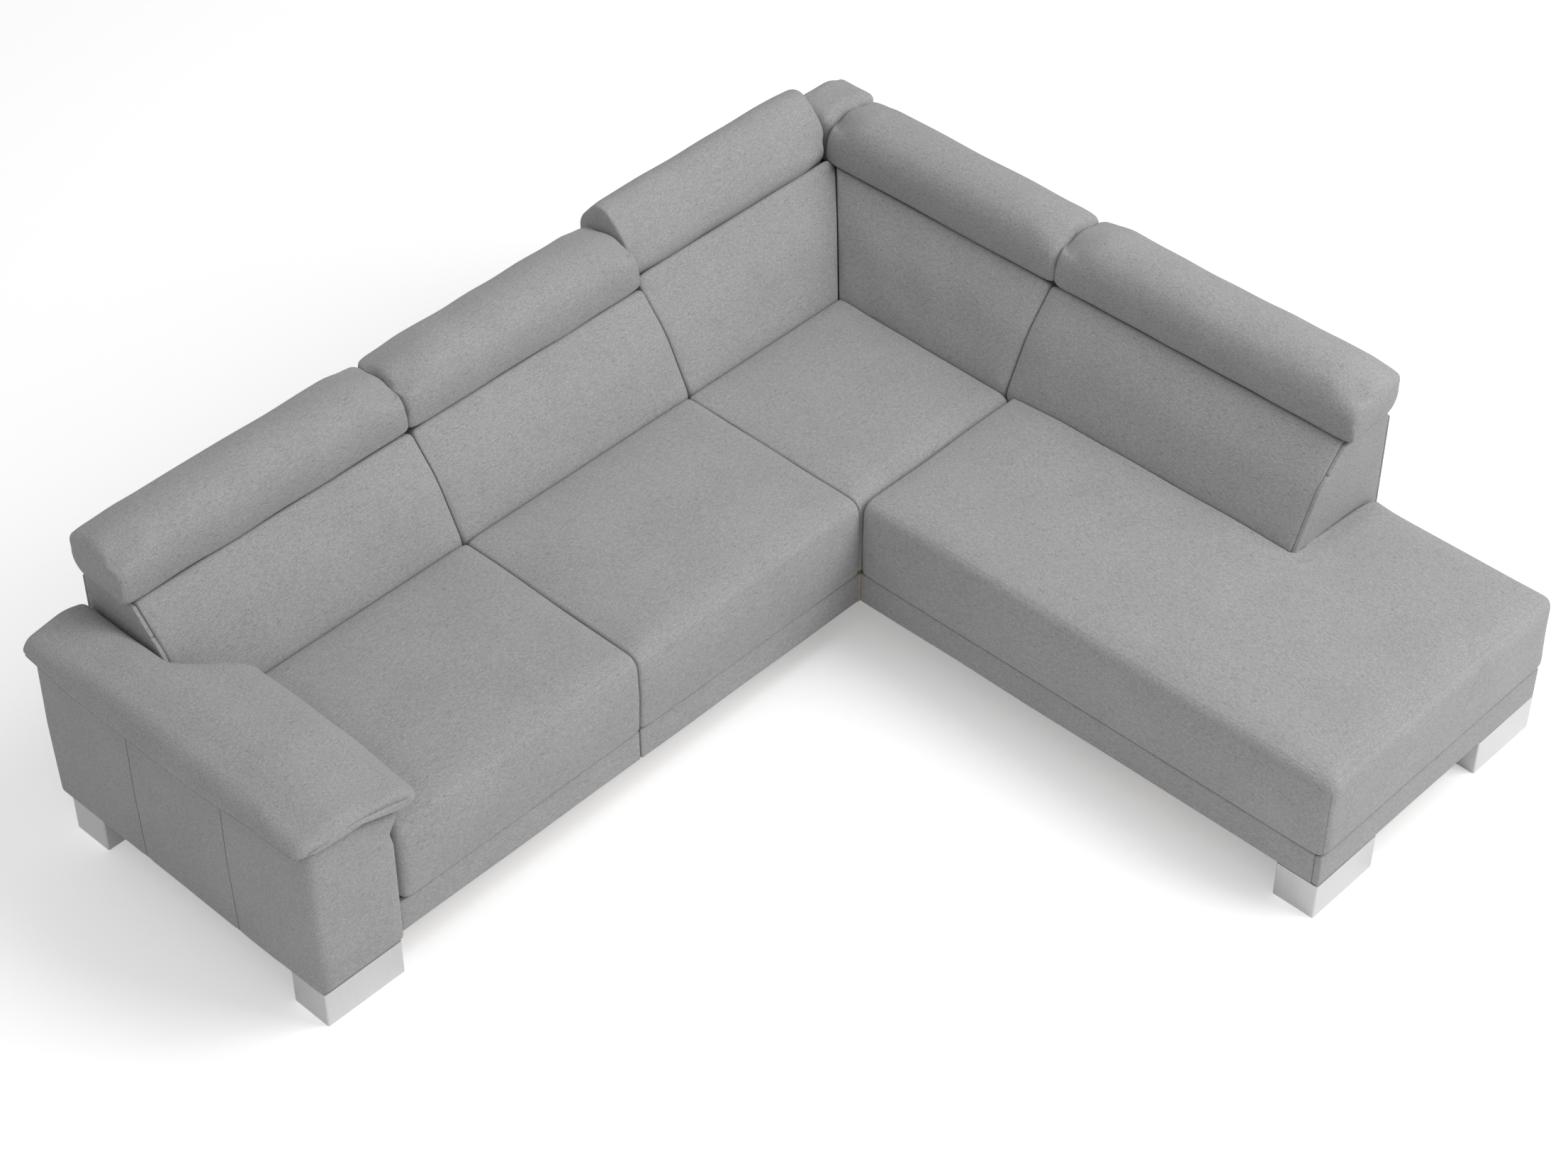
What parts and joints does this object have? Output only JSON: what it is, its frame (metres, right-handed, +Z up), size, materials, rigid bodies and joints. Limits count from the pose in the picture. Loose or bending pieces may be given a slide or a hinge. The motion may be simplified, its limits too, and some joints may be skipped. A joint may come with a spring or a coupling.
{
  "type": "corner sofa",
  "caption": "Large grey fabric corner sofa with an open ottoman end, one padded armrest, folding headrests and silver block feet.",
  "frame": {"origin": "centre of the bounding box's bottom face, on the floor", "axes": "+X along the main wing from the armrest towards the corner, +Y from the front to the rear of the main wing, +Z up"},
  "size_m": [2.8168, 2.4756, 0.8739],
  "materials": {
    "woven_fabric": "fine matt weave",
    "frame_timber": "sawn",
    "plywood": "sanded",
    "foot_metal": "satin",
    "fitting_steel": "black satin",
    "spring_steel": "drawn wire",
    "zinc_steel": "zinc plated",
    "webbing": "woven elastic",
    "lining_cloth": "non-woven",
    "black_plastic": "moulded"
  },
  "bodies": {
    "sofa": {"main_base_frame": "frame_timber", "corner_base_frame": "frame_timber", "ottoman_base_frame": "frame_timber", "dust_covers": "lining_cloth", "plinth_seat_1": "woven_fabric", "plinth_seat_2": "woven_fabric", "plinth_ottoman_front": "woven_fabric", "plinth_ottoman_end": "woven_fabric", "plinth_ottoman_rear": "woven_fabric", "main_seat_springs": "spring_steel", "corner_seat_springs": "spring_steel", "ottoman_seat_springs": "spring_steel", "seat_cushion_1": "woven_fabric", "seat_cushion_2": "woven_fabric", "corner_seat_cushion": "woven_fabric", "ottoman_seat_cushion": "woven_fabric", "back_cushion_1": "woven_fabric", "back_cushion_2": "woven_fabric", "back_cushion_3": "woven_fabric", "back_cushion_4": "woven_fabric", "back_cushion_5": "woven_fabric", "back_end_panel_side": "woven_fabric", "back_end_panel_main": "woven_fabric", "main_back_frame": "frame_timber", "corner_back_frame": "frame_timber", "ottoman_back_frame": "frame_timber", "back_webbing": "webbing", "rear_panel_main": "woven_fabric", "rear_panel_corner_left": "woven_fabric", "rear_panel_corner_right": "woven_fabric", "rear_panel_ottoman": "woven_fabric", "corner_block": "woven_fabric", "arm_frame": "frame_timber", "arm_cover": "woven_fabric", "arm_pad": "woven_fabric", "module_hooks": "fitting_steel", "foot_arm_front": "foot_metal", "foot_arm_rear": "foot_metal", "foot_ottoman_front": "foot_metal", "foot_ottoman_rear": "foot_metal", "foot_corner_rear": "foot_metal", "support_feet": "black_plastic", "frame_bolts": "zinc_steel", "headrest_brackets_main": "fitting_steel", "headrest_brackets_side": "fitting_steel"},
    "headrest_1": {"headrest_cushion_1": "woven_fabric", "headrest_board_1": "plywood", "headrest_hinge_1": "fitting_steel"},
    "headrest_2": {"headrest_cushion_2": "woven_fabric", "headrest_board_2": "plywood", "headrest_hinge_2": "fitting_steel"},
    "headrest_3": {"headrest_cushion_3": "woven_fabric", "headrest_board_3": "plywood", "headrest_hinge_3": "fitting_steel"},
    "headrest_4": {"headrest_cushion_4": "woven_fabric", "headrest_board_4": "plywood", "headrest_hinge_4": "fitting_steel"},
    "headrest_5": {"headrest_cushion_5": "woven_fabric", "headrest_board_5": "plywood", "headrest_hinge_5": "fitting_steel"}
  },
  "joints": [
    {"name": "headrest_1_tilt", "type": "hinge", "parent": "sofa", "child": "headrest_1", "pos_m": [-0.7758, 1.1362, 0.81], "axis": [1, 0, 0], "range_deg": [0, 46]},
    {"name": "headrest_2_tilt", "type": "hinge", "parent": "sofa", "child": "headrest_2", "pos_m": [0.069, 1.1362, 0.81], "axis": [1, 0, 0], "range_deg": [0, 46]},
    {"name": "headrest_3_tilt", "type": "hinge", "parent": "sofa", "child": "headrest_3", "pos_m": [0.8347, 1.1362, 0.81], "axis": [1, 0, 0], "range_deg": [-46, 0]},
    {"name": "headrest_4_tilt", "type": "hinge", "parent": "sofa", "child": "headrest_4", "pos_m": [1.329, 0.6559, 0.81], "axis": [0, -1, 0], "range_deg": [0, 46]},
    {"name": "headrest_5_tilt", "type": "hinge", "parent": "sofa", "child": "headrest_5", "pos_m": [1.329, -0.2241, 0.81], "axis": [0, -1, 0], "range_deg": [0, 46]}
  ]
}
